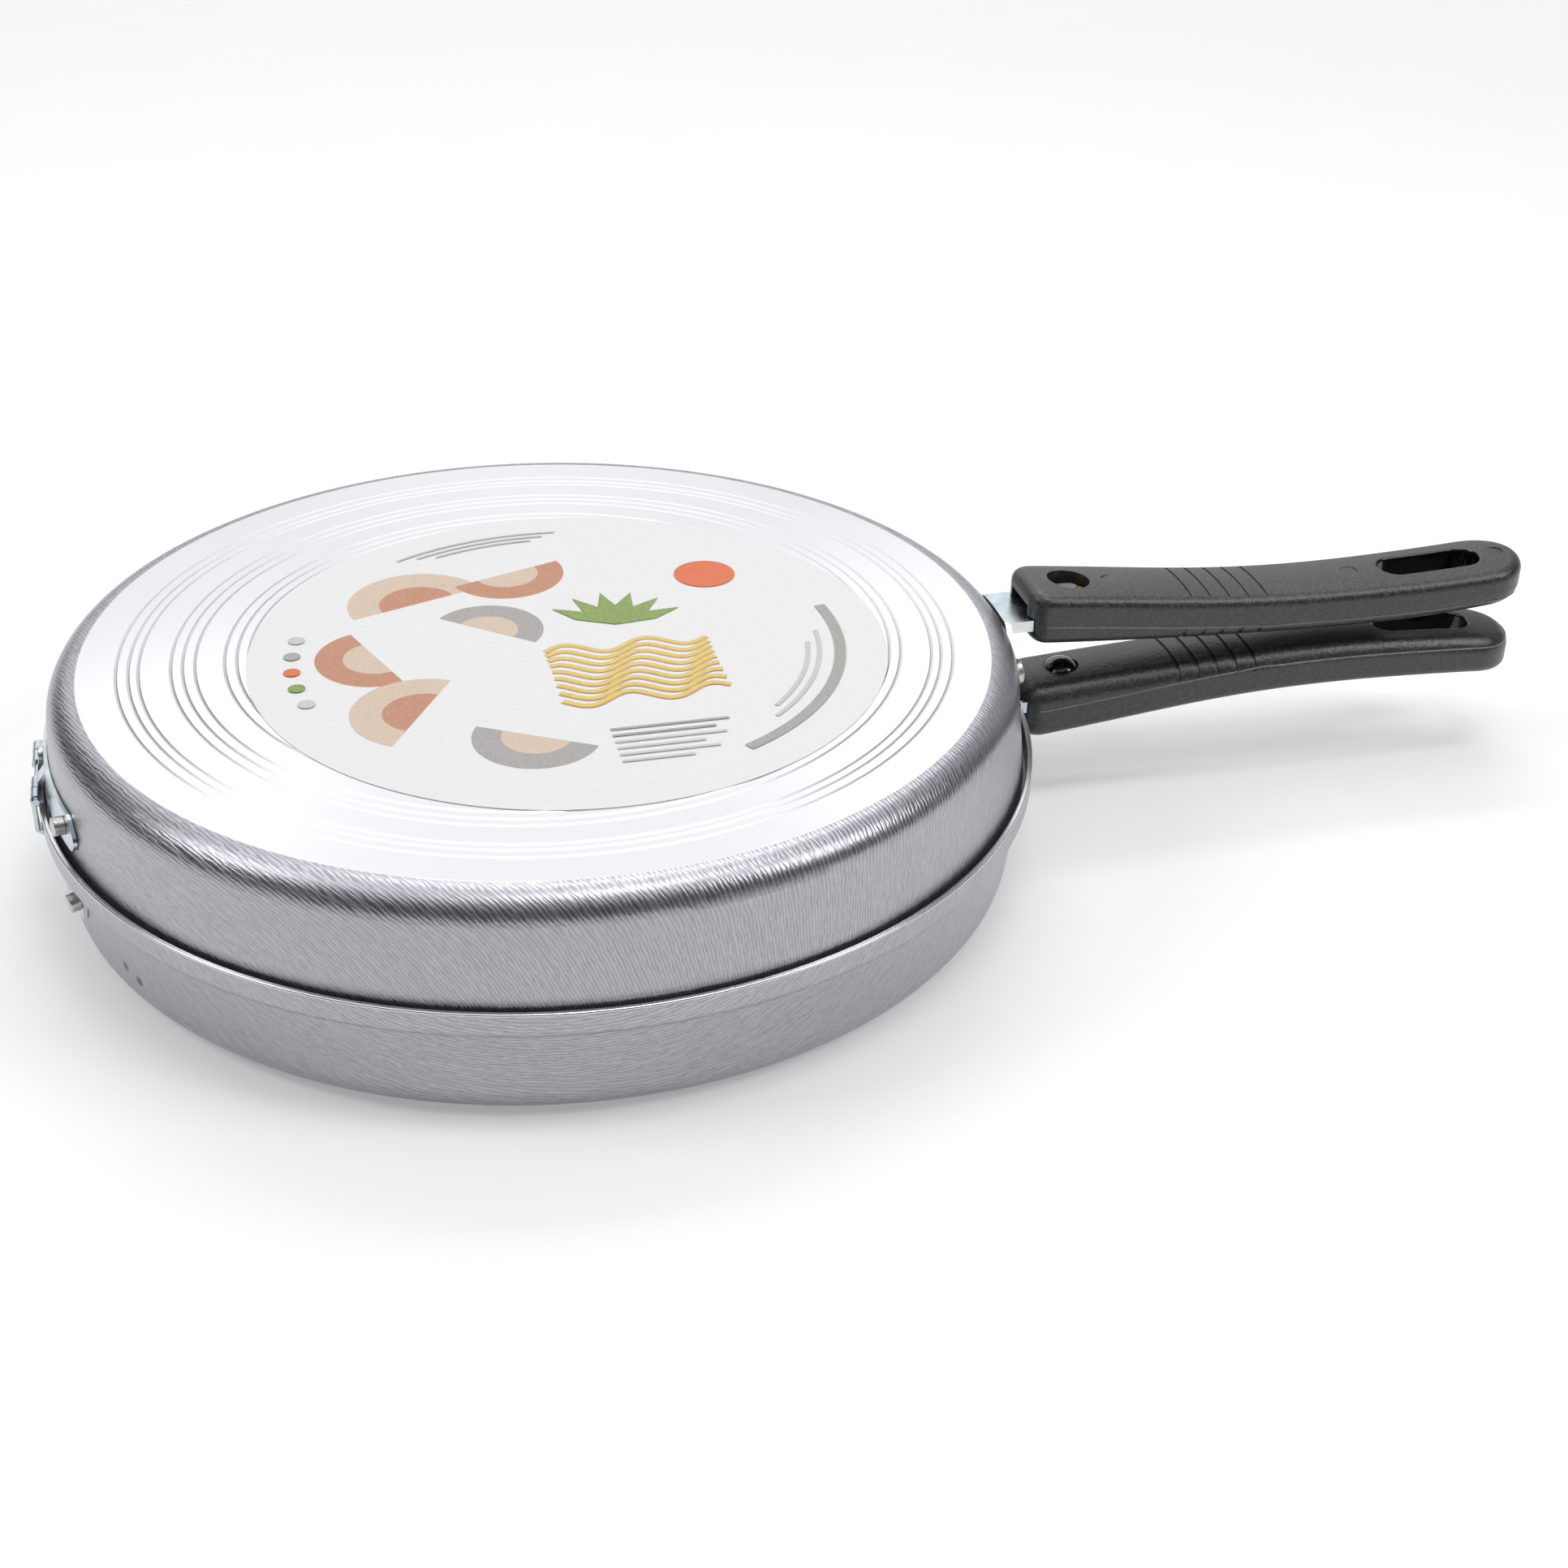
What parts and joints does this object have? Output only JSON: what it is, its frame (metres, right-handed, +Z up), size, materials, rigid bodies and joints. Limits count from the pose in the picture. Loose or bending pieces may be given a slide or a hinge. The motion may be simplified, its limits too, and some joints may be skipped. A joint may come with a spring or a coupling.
{
  "type": "double sided flip pan",
  "caption": "Round frying pan made of two shallow pans hinged mouth to mouth, each with a long moulded handle, that is turned over to cook both sides.",
  "frame": {"origin": "centre of the lower pan's flat base, on the surface it stands on", "axes": "+X from the pan's centre to the handles, with the hinge at -X; +Z up through the closed pair; +Y completes the right-handed frame"},
  "size_m": [0.4202, 0.2634, 0.0638],
  "materials": {
    "coated_aluminium": "silver grey textured paint outside, dark stone effect non-stick inside, bare turned base",
    "paper": "white printed paper label",
    "zinc_plated_steel": "bright blue zinc plate",
    "phenolic": "black fine grained phenolic moulding",
    "black_steel": "gloss black steel",
    "brass": "plain brass",
    "rivet_aluminium": "plain aluminium"
  },
  "bodies": {
    "lower_half": {"lower_pan": "coated_aluminium", "lower_hinge_leaf": "zinc_plated_steel", "hinge_pin": "zinc_plated_steel", "lower_bracket": "zinc_plated_steel", "lower_handle": "phenolic", "lower_handle_screw": "black_steel", "lower_handle_nut": "brass", "lower_hinge_rivet_1": "rivet_aluminium", "lower_hinge_rivet_2": "rivet_aluminium", "lower_hinge_rivet_3": "rivet_aluminium", "lower_bracket_rivet_1": "rivet_aluminium", "lower_bracket_rivet_2": "rivet_aluminium"},
    "upper_half": {"upper_pan": "coated_aluminium", "paper_label": "paper", "upper_hinge_leaf": "zinc_plated_steel", "upper_bracket": "zinc_plated_steel", "upper_handle": "phenolic", "upper_handle_screw": "black_steel", "upper_handle_nut": "brass", "upper_hinge_rivet_1": "rivet_aluminium", "upper_hinge_rivet_2": "rivet_aluminium", "upper_hinge_low_rivet_1": "rivet_aluminium", "upper_bracket_rivet_1": "rivet_aluminium", "upper_bracket_rivet_2": "rivet_aluminium"}
  },
  "joints": [
    {"name": "hinge", "type": "hinge", "parent": "lower_half", "child": "upper_half", "pos_m": [-0.13144, 0, 0.0355], "axis": [0, -1, 0], "range_deg": [0, 180]}
  ]
}
